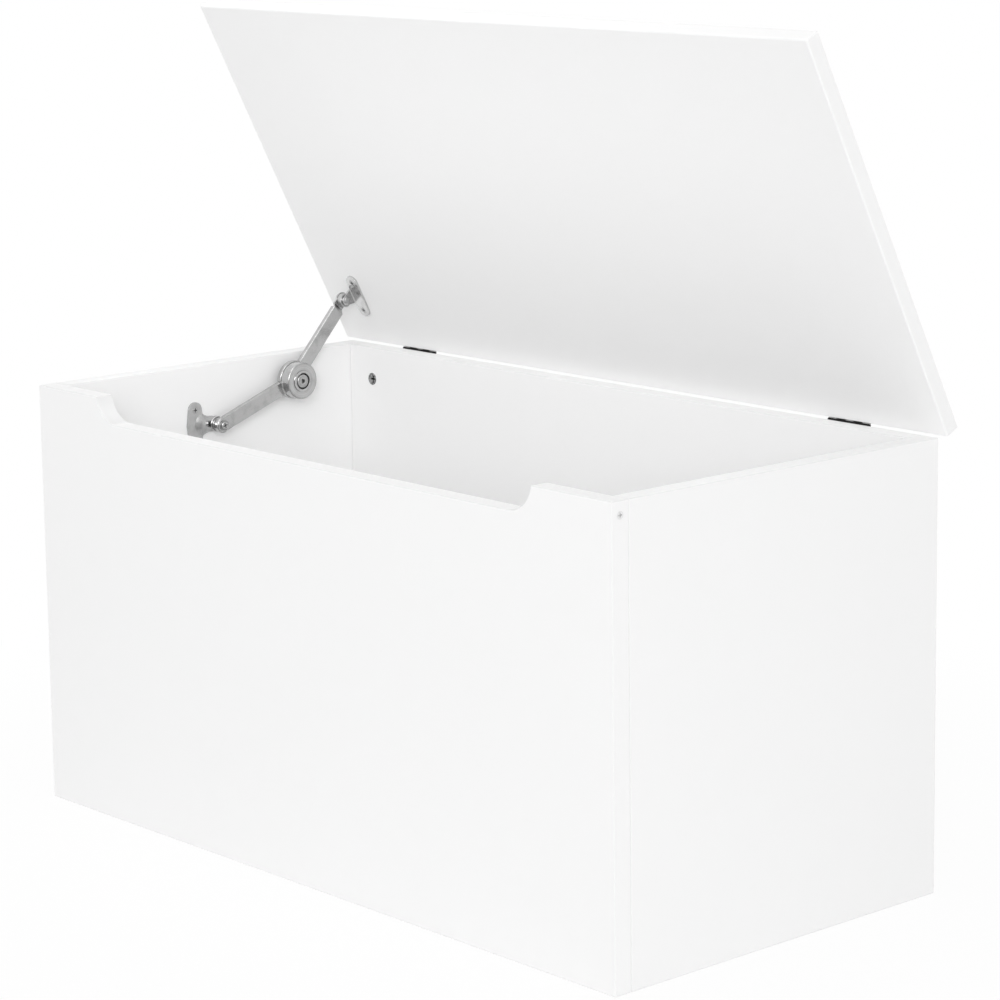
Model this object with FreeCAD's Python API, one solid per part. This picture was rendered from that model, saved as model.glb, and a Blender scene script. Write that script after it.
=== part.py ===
import FreeCAD, Part
import math
import os

# Board toy chest with a hinged lid, which one folding friction stay on the left wall holds open.
# Millimetres. +X is to the right of someone facing the front, +Y to the rear and +Z up.
# The pieces are modelled with the front face at Y = 0 and moved at the end, so that the origin lies
# on the floor, in the middle of the space that the open chest takes up.

V = FreeCAD.Vector
X, Y, Z = V(1, 0, 0), V(0, 1, 0), V(0, 0, 1)

# Body boards
BODY_WIDTH = 780.0
BODY_DEPTH = 380.0
BODY_HEIGHT = 400.0
BOARD = 18.0
BOARD_ROUND = 0.8

# Bottom panel, held in grooves of the four walls
BASE_BOARD = 9.0
BASE_HEIGHT = 20.0
GROOVE_DEPTH = 7.0
GROOVE_PLAY = 0.3

# Finger cut-out in the front panel's top edge
CUTOUT_MARGIN = 93.0
CUTOUT_DEPTH = 23.5
CUTOUT_CORNER = 28.0

# Lid
LID_BOARD = 15.0
LID_ROUND = 1.5
LID_SIDE_OVERHANG = 9.5
LID_FRONT_OVERHANG = 4.0
LID_SEAT_GAP = 0.4
LID_OPEN_ANGLE = 63.0

# Butt hinges on the back panel's rear face and the lid's rear edge
HINGE_LENGTH = 48.4
HINGE_FROM_END = 103.0
HINGE_LEAF = 0.8
HINGE_REACH = 12.5
HINGE_SCREW_PITCH = 32.0
KNUCKLE_RADIUS = 1.3
KNUCKLE_COUNT = 5
KNUCKLE_GAP = 0.2
KNUCKLE_OFF_WOOD = 0.2
PIN_RADIUS = 0.65
PIN_END = 0.3
RUNNING_FIT = 0.06
TIGHT_FIT = 0.02

# Wood screws: shank radius, head radius and length
HINGE_SCREW = (1.3, 2.5, 13.0)
BRACKET_SCREW = (1.7, 3.3, 12.0)
END_SCREW = (2.0, 3.4, 28.0)
END_SCREW_FROM_TOP = 11.6
SCREW_PLAY = 0.05

# Corner joints of the body: cam locks with their bolts, and dowels
CAM_RADIUS = 6.0
CAM_DEPTH = 12.5
CAM_SETBACK = 34.0
CAM_FROM_TOP = 32.0
CAM_FROM_FLOOR = 64.0
CAM_BOLT_RADIUS = 2.9
CAM_BOLT_HEAD = 3.4
CAM_BOLT_BITE = 11.0
CAM_RECESS_OFFSET = 2.0
CAM_BORE_PLAY = 1.0
FITTING_PLAY = 0.1
DOWEL_RADIUS = 4.0
DOWEL_IN_EDGE = 20.0
DOWEL_IN_FACE = 10.0
DOWEL_CHAMFER = 1.0
DOWEL_FROM_TOP = 112.0
DOWEL_FROM_FLOOR = 140.0

# Lid stay: places of its pivots, and the bend that is left in its elbow when the lid is open
STAY_PIVOT_FROM_HINGE = 191.55
STAY_PIVOT_BELOW_TOP = 59.0
LID_PIVOT_FROM_HINGE = 57.75
LID_PIVOT_DROP = 10.6
ELBOW_BEND = 28.0

# Lid stay: layers outwards from the wall
SHEET = 1.5
STAY_WALL_GAP = 8.2
ARM_DEPTH = 5.0
ARM_WIDTH = 14.0
ARM_BEND = 0.9
LAYER_GAP = 0.3
EYE_JOGGLE = 4.2
EYE_JOGGLE_START = 12.5
EYE_JOGGLE_LENGTH = 4.5
EYE_RADIUS = 7.5
PAD_RADIUS = 11.4
PAD_HEIGHT = 0.8

# Drum at the elbow
DRUM_RADIUS = 18.0
DRUM_HEIGHT = 9.5
DRUM_ROUND = 1.2
DRUM_FLANGE = 1.0
DRUM_FLARE = 1.5
BOSS_RADIUS = 6.6
BOSS_GAP = 1.4
BOSS_HEIGHT = 3.6
BOSS_PROUD = 0.7
BOSS_CHAMFER = 0.4
LIP_WIDTH = 2.6
LIP_HEIGHT = 0.8
BOLT_RADIUS = 4.0
BOLT_REAR_HEAD = 7.0
BOLT_REAR_HEIGHT = 1.8
HEX_SOCKET = 4.5
FRICTION_DISC = 1.6
PRESSURE_PLATE = 1.6
DRUM_SIDE_PLAY = 0.8
SPRING_SHEET = 0.8

# Bracket on the side wall
PLATE = 2.0
WALL_PLATE_BEFORE_PIVOT = 24.0
WALL_PLATE_ABOVE_PIVOT = 1.0
WALL_PLATE_SCREWS = 30.0
WALL_PLATE_MIDDLE = 9.6
WALL_PLATE_END = 7.8
NECK_ROOT = 11.6
NECK_END = 8.0
LUG_RADIUS = 7.6
LUG_FRONT = 5.0
LUG_HEIGHT = 3.6

# Lower pivot, carried by the arm
BUSH_RADIUS = 5.2
BUSH_COLLAR = 6.2
BUSH_COLLAR_HEIGHT = 1.6
PIVOT_RADIUS = 2.5
PIVOT_WASHER = 5.3
PIVOT_WASHER_HEIGHT = 0.6
PIVOT_HEAD = 4.0
PIVOT_HEAD_HEIGHT = 1.5

# Bracket on the lid, with its ring and rivet
LID_PLATE_SCREWS = 32.0
LID_PLATE_END = 7.4
TAB_END = 4.8
TAB_ROOT = 7.4
TAB_BEND = 1.2
RING_RADIUS = 6.8
RING_HEIGHT = 5.0
RIVET_RADIUS = 2.0
RIVET_HEAD = 3.4
RIVET_HEIGHT = 1.2

# Places that follow from the sizes above
HALF_WIDTH = BODY_WIDTH / 2
INNER_X = HALF_WIDTH - BOARD
INNER_BACK = BODY_DEPTH - BOARD
LID_UNDERSIDE = BODY_HEIGHT + LID_SEAT_GAP
HINGE_Y = BODY_DEPTH + KNUCKLE_RADIUS + KNUCKLE_OFF_WOOD
HINGE_Z = BODY_HEIGHT + LID_SEAT_GAP / 2
HINGE_SCREW_OFF_AXIS = (HINGE_REACH + KNUCKLE_RADIUS) / 2
OPEN = math.radians(LID_OPEN_ANGLE)
LID_REAR_REACH = ((BODY_DEPTH - HINGE_Y) * math.cos(OPEN)
                  + (LID_UNDERSIDE + LID_BOARD - HINGE_Z) * math.sin(OPEN))
OPEN_DEPTH = HINGE_Y + LID_REAR_REACH
UPPER_FRONT = STAY_WALL_GAP + ARM_DEPTH
LOWER_BACK = UPPER_FRONT + LAYER_GAP
LOWER_FRONT = LOWER_BACK + SHEET
DRUM_FRONT = LOWER_FRONT + DRUM_HEIGHT
BOSS_TOP = DRUM_FRONT + BOSS_PROUD
EYE_FRONT = UPPER_FRONT - EYE_JOGGLE
TAB_BACK = EYE_FRONT + RING_HEIGHT + LAYER_GAP
TAB_FRONT = TAB_BACK + PLATE
HALF_ARM = ARM_WIDTH / 2
FLANGE_RADIUS = DRUM_RADIUS + DRUM_FLANGE


def box(low, high):
    size = high.sub(low)
    return Part.makeBox(size.x, size.y, size.z, low)


def rounded_board(low, high, radius):
    board = box(low, high)
    return board.makeFillet(radius, board.Edges)


def disc(radius, low, high, centre=V(0, 0, 0)):
    return Part.makeCylinder(radius, high - low, centre.add(V(0, 0, low)))


def turned(profile):
    """Solid of revolution about Z, from (radius, height) points."""
    points = [V(radius, 0, height) for radius, height in profile]
    return Part.Face(Part.makePolygon(points + points[:1])).revolve(V(0, 0, 0), Z, 360)


def prism(points, low, high):
    """Upright prism on a polygon of (x, y) points."""
    corners = [V(x, y, low) for x, y in points]
    return Part.Face(Part.makePolygon(corners + corners[:1])).extrude(V(0, 0, high - low))


def strap(first, first_radius, second, second_radius, low, high):
    """Upright prism on two circles and their outer tangents."""
    along = second.sub(first)
    lean = math.acos((first_radius - second_radius) / along.Length)
    heading = math.atan2(along.y, along.x)
    left = V(math.cos(heading + lean), math.sin(heading + lean), 0)
    right = V(math.cos(heading - lean), math.sin(heading - lean), 0)
    corners = [first.add(left * first_radius), second.add(left * second_radius),
               second.add(right * second_radius), first.add(right * first_radius)]
    web = prism([(c.x, c.y) for c in corners], low, high)
    ends = [disc(first_radius, low, high, first), disc(second_radius, low, high, second)]
    return web.fuse(ends).removeSplitter()


def seated(shape, origin, x_dir, z_dir):
    """Copy of a shape, carried from its own frame to a place with the given X and Z directions."""
    y_dir = z_dir.cross(x_dir)
    matrix = FreeCAD.Matrix(
        x_dir.x, y_dir.x, z_dir.x, origin.x,
        x_dir.y, y_dir.y, z_dir.y, origin.y,
        x_dir.z, y_dir.z, z_dir.z, origin.z,
        0, 0, 0, 1)
    moved = shape.copy()
    moved.Placement = FreeCAD.Placement(matrix).multiply(moved.Placement)
    return moved


def turned_about(shape, centre, axis, degrees):
    moved = shape.copy()
    moved.rotate(centre, axis, degrees)
    return moved


def opened(shape):
    """Copy of a piece of the closed lid, swung open about the hinge line."""
    return turned_about(shape, V(0, HINGE_Y, HINGE_Z), X, -LID_OPEN_ANGLE)


def save(name, shape):
    placed = shape.copy()
    placed.translate(V(0, -OPEN_DEPTH / 2, 0))
    placed.exportStep("parts/" + name + ".step")


def cross_recess(head):
    """Cutter for a cross slot in a screw head whose top is at Z = 0."""
    arm, slot, depth = head * 0.6, head * 0.14, head * 0.4
    first = box(V(-arm, -slot, -depth), V(arm, slot, depth))
    return first.fuse(turned_about(first, V(0, 0, 0), Z, 90))


def countersunk_screw(shank, head, length):
    """Screw along -Z with the flat top of its head at Z = 0."""
    body = turned([(0, 0), (head, 0), (shank, shank - head), (shank, shank - length), (0, -length)])
    return body.cut(cross_recess(head))


def screw_hole(shank, head, length):
    """Cutter for a countersunk screw's seat and hole."""
    wide, bore, deep = head + SCREW_PLAY, shank + SCREW_PLAY, length + SCREW_PLAY
    return turned([(0, head), (wide, head), (wide, 0), (bore, bore - wide), (bore, -deep), (0, -deep)])


# Body boards

def front_panel_blank():
    inner = HALF_WIDTH - CUTOUT_MARGIN
    sill = BODY_HEIGHT - CUTOUT_DEPTH
    turn = math.acos(1 - CUTOUT_DEPTH / CUTOUT_CORNER)
    flat = inner - CUTOUT_CORNER * math.sin(turn)
    middle = flat + CUTOUT_CORNER * math.sin(turn / 2)
    rise = sill + CUTOUT_CORNER * (1 - math.cos(turn / 2))

    def at(x, z):
        return V(x, 0, z)

    outline = [
        Part.LineSegment(at(-HALF_WIDTH, 0), at(HALF_WIDTH, 0)),
        Part.LineSegment(at(HALF_WIDTH, 0), at(HALF_WIDTH, BODY_HEIGHT)),
        Part.LineSegment(at(HALF_WIDTH, BODY_HEIGHT), at(inner, BODY_HEIGHT)),
        Part.Arc(at(inner, BODY_HEIGHT), at(middle, rise), at(flat, sill)),
        Part.LineSegment(at(flat, sill), at(-flat, sill)),
        Part.Arc(at(-flat, sill), at(-middle, rise), at(-inner, BODY_HEIGHT)),
        Part.LineSegment(at(-inner, BODY_HEIGHT), at(-HALF_WIDTH, BODY_HEIGHT)),
        Part.LineSegment(at(-HALF_WIDTH, BODY_HEIGHT), at(-HALF_WIDTH, 0)),
    ]
    face = Part.Face(Part.Wire([segment.toShape() for segment in outline]))
    blank = face.extrude(V(0, BOARD, 0))
    return blank.makeFillet(BOARD_ROUND, blank.Edges)


def side_panel_blank(side):
    outer, inner = side * HALF_WIDTH, side * INNER_X
    low = V(min(outer, inner), BOARD, 0)
    return rounded_board(low, low.add(V(BOARD, BODY_DEPTH - BOARD, BODY_HEIGHT)), BOARD_ROUND)


def back_panel_blank():
    return rounded_board(V(-INNER_X, INNER_BACK, 0), V(INNER_X, BODY_DEPTH, BODY_HEIGHT), BOARD_ROUND)


def base_extent(spare):
    reach = GROOVE_DEPTH - GROOVE_PLAY + spare
    return (V(-INNER_X - reach, BOARD - reach, BASE_HEIGHT),
            V(INNER_X + reach, INNER_BACK + reach, BASE_HEIGHT + BASE_BOARD + spare))


def lid_board():
    low = V(-HALF_WIDTH - LID_SIDE_OVERHANG, -LID_FRONT_OVERHANG, LID_UNDERSIDE)
    high = V(HALF_WIDTH + LID_SIDE_OVERHANG, BODY_DEPTH, LID_UNDERSIDE + LID_BOARD)
    return rounded_board(low, high, LID_ROUND)


# Corner fittings. In their own frame Z points out of the board's inner face and X to the other board.

def cam_lock():
    barrel = disc(CAM_RADIUS, -CAM_DEPTH, 0)
    bolt_way = Part.makeCylinder(CAM_BOLT_RADIUS + CAM_BORE_PLAY, 2 * CAM_RADIUS,
                                 V(-CAM_RADIUS / 2, 0, -BOARD / 2), X)
    recess = cross_recess(CAM_RADIUS)
    recess.translate(V(-CAM_RECESS_OFFSET, 0, 0))
    return barrel.cut([bolt_way, recess])


def cam_bolt():
    """Bolt from its head inside the cam to its thread in the other board."""
    neck = CAM_BOLT_RADIUS - 0.8
    head_end, neck_end = CAM_BOLT_HEAD, 2 * CAM_BOLT_HEAD
    length = CAM_SETBACK + CAM_BOLT_BITE
    spindle = turned([(0, 0), (CAM_BOLT_HEAD, 0), (CAM_BOLT_HEAD, head_end), (neck, head_end),
                      (neck, neck_end), (CAM_BOLT_RADIUS, neck_end), (CAM_BOLT_RADIUS, length), (0, length)])
    return seated(spindle, V(0, 0, -BOARD / 2), Y, X)


def dowel():
    end, length = DOWEL_RADIUS - DOWEL_CHAMFER, DOWEL_IN_EDGE + DOWEL_IN_FACE
    peg = turned([(0, 0), (end, 0), (DOWEL_RADIUS, DOWEL_CHAMFER), (DOWEL_RADIUS, length - DOWEL_CHAMFER),
                  (end, length), (0, length)])
    return seated(peg, V(CAM_SETBACK - DOWEL_IN_EDGE, 0, -BOARD / 2), Y, X)


def cam_bores():
    """Cutters for the board that holds the cam: the cam's hole and the bolt's bore from the edge."""
    hole = disc(CAM_RADIUS + FITTING_PLAY, -CAM_DEPTH - FITTING_PLAY, BOARD_ROUND)
    bore = Part.makeCylinder(CAM_BOLT_RADIUS + CAM_BORE_PLAY, CAM_SETBACK, V(0, 0, -BOARD / 2), X)
    return hole.fuse(bore)


def peg_bore(radius, start, end):
    """Cutter along X at mid board, for a bolt or a dowel."""
    return Part.makeCylinder(radius + FITTING_PLAY, end - start, V(start, 0, -BOARD / 2), X)


def corner_joints():
    """Each joint's name, the board with the cams, the other board and the fittings' frame at floor level."""
    for side, wall in ((-1, "left_side_panel"), (1, "right_side_panel")):
        back = V(side * (INNER_X - CAM_SETBACK), INNER_BACK, 0)
        yield "back", "back_panel", wall, back, X * side, Y * -1
        front = V(side * INNER_X, BOARD + CAM_SETBACK, 0)
        yield "front", wall, "front_panel", front, Y * -1, X * -side


def fit_corners(boards):
    """Bore the boards for their corner fittings, and return the fittings by node name."""
    fittings = {}
    cutters = {name: [] for name in boards}
    cam_heights = (CAM_FROM_FLOOR, BODY_HEIGHT - CAM_FROM_TOP)
    dowel_heights = (DOWEL_FROM_FLOOR, BODY_HEIGHT - DOWEL_FROM_TOP)
    bolt_bore = peg_bore(CAM_BOLT_RADIUS, CAM_SETBACK, CAM_SETBACK + CAM_BOLT_BITE + FITTING_PLAY)
    dowel_bore = peg_bore(DOWEL_RADIUS, CAM_SETBACK - DOWEL_IN_EDGE - FITTING_PLAY,
                          CAM_SETBACK + DOWEL_IN_FACE + FITTING_PLAY)
    for joint, holder, other, origin, towards, out in corner_joints():
        for height in cam_heights:
            place = origin.add(V(0, 0, height))
            fittings.setdefault(joint + "_cam_locks", []).append(seated(cam_lock(), place, towards, out))
            fittings.setdefault(joint + "_cam_bolts", []).append(seated(cam_bolt(), place, towards, out))
            cutters[holder].append(seated(cam_bores(), place, towards, out))
            cutters[other].append(seated(bolt_bore, place, towards, out))
        for height in dowel_heights:
            place = origin.add(V(0, 0, height))
            fittings.setdefault(joint + "_dowels", []).append(seated(dowel(), place, towards, out))
            for board in (holder, other):
                cutters[board].append(seated(dowel_bore, place, towards, out))
    for name, tools in cutters.items():
        if tools:
            boards[name] = boards[name].cut(tools)
    return fittings


# Hinges, modelled with the lid closed. Up is -1 for the leaf on the back panel and +1 for the lid's.

def knuckle_spans(centre, up):
    pitch = HINGE_LENGTH / KNUCKLE_COUNT
    first = 0 if up < 0 else 1
    for index in range(first, KNUCKLE_COUNT, 2):
        start = centre - HINGE_LENGTH / 2 + index * pitch
        yield start + KNUCKLE_GAP / 2, start + pitch - KNUCKLE_GAP / 2


def upright_box(x_low, x_high, y_low, y_high, z_one, z_two):
    return box(V(x_low, y_low, min(z_one, z_two)), V(x_high, y_high, max(z_one, z_two)))


def hinge_screw_places(centre, up):
    for offset in (-HINGE_SCREW_PITCH / 2, HINGE_SCREW_PITCH / 2):
        yield V(centre + offset, BODY_DEPTH + HINGE_LEAF, HINGE_Z + up * HINGE_SCREW_OFF_AXIS)


def hinge_leaf(centre, up):
    outer = BODY_DEPTH + HINGE_LEAF
    root = HINGE_Z + up * (KNUCKLE_RADIUS + KNUCKLE_GAP)
    half = HINGE_LENGTH / 2
    leaf = upright_box(centre - half, centre + half, BODY_DEPTH, outer, root, HINGE_Z + up * HINGE_REACH)
    pieces = []
    for start, end in knuckle_spans(centre, up):
        pieces.append(upright_box(start, end, BODY_DEPTH, outer, HINGE_Z, root))
        pieces.append(Part.makeCylinder(KNUCKLE_RADIUS, end - start, V(start, HINGE_Y, HINGE_Z), X))
    leaf = leaf.fuse(pieces)
    fit = TIGHT_FIT if up < 0 else RUNNING_FIT
    holes = [Part.makeCylinder(PIN_RADIUS + fit, HINGE_LENGTH, V(centre - half, HINGE_Y, HINGE_Z), X)]
    holes += [seated(screw_hole(*HINGE_SCREW), place, X, Y) for place in hinge_screw_places(centre, up)]
    return leaf.cut(holes).removeSplitter()


def hinge_pin(centre):
    half = HINGE_LENGTH / 2
    tip = PIN_RADIUS / 2
    pin = turned([(0, -half - PIN_END), (tip, -half - PIN_END), (PIN_RADIUS, -half), (PIN_RADIUS, half),
                  (tip, half + PIN_END), (0, half + PIN_END)])
    return seated(pin, V(centre, HINGE_Y, HINGE_Z), Y, X)


# Lid stay. Its own frame has X to the rear, Y up and Z out from the left wall's inner face.

def on_wall(shape):
    return seated(shape, V(-INNER_X, 0, 0), Y, X)


def lid_pivot_closed():
    return V(HINGE_Y - LID_PIVOT_FROM_HINGE, LID_UNDERSIDE - LID_PIVOT_DROP, 0)


def swung_open(shape):
    """Copy of a piece of the closed lid in the stay's frame, swung open."""
    return turned_about(shape, V(HINGE_Y, HINGE_Z, 0), Z, -LID_OPEN_ANGLE)


def stay_pivots():
    """Wall pivot, elbow and lid pivot with the lid open. The two arms are equally long."""
    wall = V(HINGE_Y - STAY_PIVOT_FROM_HINGE, BODY_HEIGHT - STAY_PIVOT_BELOW_TOP, 0)
    swing = FreeCAD.Rotation(Z, -LID_OPEN_ANGLE)
    hinge = V(HINGE_Y, HINGE_Z, 0)
    lid = hinge.add(swing.multVec(lid_pivot_closed().sub(hinge)))
    half = lid.sub(wall) * 0.5
    sag = math.tan(math.radians(ELBOW_BEND / 2))
    elbow = wall.add(half).add(V(half.y, -half.x, 0) * sag)
    return wall, elbow, lid


def along_arm(shape, start, end):
    """Copy of an arm that is modelled along X, laid from one pivot to the next."""
    heading = end.sub(start)
    heading.normalize()
    return seated(shape, start, heading, Z)


def edges_at(shape, height):
    """Edges that lie wholly at one height."""
    return [edge for edge in shape.Edges
            if abs(edge.BoundBox.ZMin - height) < 1e-6 and abs(edge.BoundBox.ZMax - height) < 1e-6]


def bent_edge(shape, height):
    """The shape with the sheet's bend radius round its face at one height."""
    return shape.makeFillet(ARM_BEND, edges_at(shape, height))


def wall_bracket(wall):
    plate = V(wall.x - WALL_PLATE_BEFORE_PIVOT, wall.y + WALL_PLATE_ABOVE_PIVOT, 0)
    half = WALL_PLATE_SCREWS / 2
    ends = [plate.add(V(0, half, 0)), plate.add(V(0, -half, 0))]
    body = strap(plate, WALL_PLATE_MIDDLE, ends[0], WALL_PLATE_END, 0, PLATE)
    body = body.fuse(strap(plate, WALL_PLATE_MIDDLE, ends[1], WALL_PLATE_END, 0, PLATE))
    lug = disc(LUG_RADIUS, LUG_FRONT - LUG_HEIGHT, LUG_FRONT, wall)
    lug = lug.makeFillet(BOARD_ROUND, edges_at(lug, LUG_FRONT))
    body = body.fuse([neck(plate, wall), lug])
    holes = [seated(screw_hole(*BRACKET_SCREW), end.add(V(0, 0, PLATE)), X, Z) for end in ends]
    return body.cut(holes).removeSplitter(), ends


def neck(plate, wall):
    """Flared neck that leaves the wall plate and lifts to the lug."""
    reach = wall.x - plate.x
    stations = ((-0.18, 0.45 * NECK_ROOT, 0.95 * PLATE), (0.0, 0.74 * NECK_ROOT, 1.15 * PLATE),
                (0.14, 0.92 * NECK_ROOT, 0.74 * LUG_FRONT), (0.28, NECK_ROOT, 0.9 * LUG_FRONT),
                (0.54, 1.12 * NECK_END, 0.96 * LUG_FRONT), (0.74, NECK_END, 0.96 * LUG_FRONT),
                (0.92, 0.96 * NECK_END, 0.94 * LUG_FRONT))
    rings = []
    for share, half_height, rise in stations:
        centre = V(plate.x + reach * share, plate.y + (wall.y - plate.y) * max(share, 0), 0)
        ring = Part.Ellipse(V(0, 0, 0), max(half_height, rise), min(half_height, rise)).toShape()
        rings.append(seated(Part.Wire([ring]), centre, Y, X))
    body = Part.makeLoft(rings, True)
    behind = box(V(plate.x - reach, plate.y - 2 * reach, -2 * LUG_FRONT), V(wall.x + reach, wall.y + 2 * reach, 0))
    return body.cut(behind)


def lower_arm(length):
    """Channel from its eye at X = 0 to the drum at the elbow, with the web to the front."""
    back = LOWER_FRONT - ARM_DEPTH
    bar = disc(EYE_RADIUS, back, LOWER_FRONT).fuse(
        box(V(0, -HALF_ARM, back), V(length, HALF_ARM, LOWER_FRONT))).removeSplitter()
    bar = bent_edge(bar, LOWER_FRONT)
    inner = HALF_ARM - SHEET
    pocket = disc(EYE_RADIUS - SHEET, back, LOWER_BACK).fuse(
        box(V(0, -inner, back), V(length, inner, LOWER_BACK)))
    elbow = V(length, 0, 0)
    room = disc(FLANGE_RADIUS + LAYER_GAP, back, LOWER_BACK, elbow)
    bar = bar.cut([pocket, room])
    pad = disc(PAD_RADIUS, LOWER_BACK, LOWER_FRONT + PAD_HEIGHT).common(
        strap(V(0, 0, 0), EYE_RADIUS - ARM_BEND, V(length / 2, 0, 0), HALF_ARM - ARM_BEND - SHEET,
              LOWER_BACK, LOWER_FRONT + PAD_HEIGHT))
    bar = bar.fuse([pad, drum_shell(elbow), drum_flare(elbow)])
    cavity = disc(DRUM_RADIUS - SHEET, back, DRUM_FRONT - SHEET, elbow)
    mouth = disc(BOSS_RADIUS + BOSS_GAP, back, DRUM_FRONT + LIP_HEIGHT, elbow)
    eye = disc(PIVOT_RADIUS + TIGHT_FIT, back, DRUM_FRONT)
    return bar.cut([cavity, mouth, eye]).removeSplitter()


def drum_shell(elbow):
    """Drawn drum with a rounded rim and a raised lip round its mouth. It is still solid inside."""
    shell = disc(DRUM_RADIUS, LOWER_BACK, DRUM_FRONT, elbow)
    shell = shell.makeFillet(DRUM_ROUND, edges_at(shell, DRUM_FRONT))
    lip = BOSS_RADIUS + BOSS_GAP + LIP_WIDTH
    return shell.fuse(disc(lip, DRUM_FRONT - SHEET, DRUM_FRONT + LIP_HEIGHT, elbow))


def drum_flare(elbow):
    """Hollow curve by which the arm's web runs up into the drum's wall."""
    rim = DRUM_RADIUS - SHEET / 2
    outer = DRUM_RADIUS + DRUM_FLARE
    top = LOWER_FRONT + DRUM_FLARE
    bow = DRUM_FLARE * (1 - math.sqrt(0.5))
    curve = Part.Arc(V(outer, 0, LOWER_FRONT), V(DRUM_RADIUS + bow, 0, LOWER_FRONT + bow), V(DRUM_RADIUS, 0, top))
    lines = [(V(DRUM_RADIUS, 0, top), V(rim, 0, top)), (V(rim, 0, top), V(rim, 0, LOWER_BACK)),
             (V(rim, 0, LOWER_BACK), V(outer, 0, LOWER_BACK)), (V(outer, 0, LOWER_BACK), V(outer, 0, LOWER_FRONT))]
    wire = Part.Wire([curve.toShape()] + [Part.LineSegment(*line).toShape() for line in lines])
    ring = Part.Face(wire).revolve(V(0, 0, 0), Z, 360)
    ring.translate(elbow)
    width = HALF_ARM - ARM_BEND
    return ring.common(box(V(0, -width, LOWER_BACK), elbow.add(V(0, width, top))))


def upper_arm(length):
    """Channel from its round end under the drum, at X = 0, to the joggled eye at the lid bracket."""
    back, web_back = STAY_WALL_GAP, UPPER_FRONT - SHEET
    shoulder = length - EYE_JOGGLE_START
    bar = disc(FLANGE_RADIUS, back, UPPER_FRONT).fuse(
        box(V(0, -HALF_ARM, back), V(shoulder, HALF_ARM, UPPER_FRONT))).removeSplitter()
    bar = bent_edge(bar, UPPER_FRONT)
    inner = HALF_ARM - SHEET
    pocket = disc(FLANGE_RADIUS - SHEET, back, web_back).fuse(
        box(V(0, -inner, back), V(shoulder, inner, web_back)))
    eye = joggled_eye(length, shoulder)
    holes = [disc(BOLT_RADIUS + TIGHT_FIT, back, UPPER_FRONT),
             disc(RIVET_RADIUS + RUNNING_FIT, EYE_FRONT - 2 * SHEET, UPPER_FRONT, V(length, 0, 0))]
    return bar.cut(pocket).fuse(eye).cut(holes).removeSplitter()


def joggled_eye(length, shoulder):
    """Sheet that steps towards the wall and ends in a round eye."""
    start = shoulder - SHEET
    step = shoulder + EYE_JOGGLE_LENGTH
    end = length + EYE_RADIUS
    side = [(start, UPPER_FRONT), (shoulder, UPPER_FRONT), (step, EYE_FRONT), (end, EYE_FRONT),
            (end, EYE_FRONT - SHEET), (step - SHEET / 2, EYE_FRONT - SHEET),
            (shoulder - SHEET / 2, UPPER_FRONT - SHEET), (start, UPPER_FRONT - SHEET)]
    strip = seated(prism(side, -EYE_RADIUS, EYE_RADIUS), V(0, 0, 0), X, Y * -1)
    width = HALF_ARM - ARM_BEND
    tip = V(length, 0, 0)
    outline = box(V(start, -width, 0), V(length, width, DRUM_FRONT)).fuse(disc(EYE_RADIUS, 0, DRUM_FRONT, tip))
    return strip.common(outline)


def centre_bolt():
    """Bolt fixed in the upper arm, with the round boss and its hexagon socket in the drum's mouth."""
    rear = UPPER_FRONT - SHEET
    under = BOSS_TOP - BOSS_HEIGHT
    bolt = turned([(0, rear - BOLT_REAR_HEIGHT), (BOLT_REAR_HEAD, rear - BOLT_REAR_HEIGHT), (BOLT_REAR_HEAD, rear),
                   (BOLT_RADIUS, rear), (BOLT_RADIUS, under), (BOSS_RADIUS, under),
                   (BOSS_RADIUS, BOSS_TOP - BOSS_CHAMFER), (BOSS_RADIUS - BOSS_CHAMFER, BOSS_TOP), (0, BOSS_TOP)])
    corner = HEX_SOCKET / math.sqrt(3)
    flats = [(corner * math.cos(turn), corner * math.sin(turn))
             for turn in (math.radians(60 * index) for index in range(6))]
    return bolt.cut(prism(flats, under, BOSS_TOP))


def bored_disc(radius, bore, low, high):
    return disc(radius, low, high).cut(disc(bore, low, high))


def disc_spring(low, high):
    """Cone-shaped spring washer between the pressure plate and the bolt's boss."""
    bore, rim = BOLT_RADIUS + LAYER_GAP, DRUM_RADIUS - SHEET - DRUM_SIDE_PLAY
    return turned([(rim - SPRING_SHEET, low), (rim, low), (rim, low + SPRING_SHEET),
                   (bore + SPRING_SHEET, high), (bore, high), (bore, high - SPRING_SHEET)])


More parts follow.
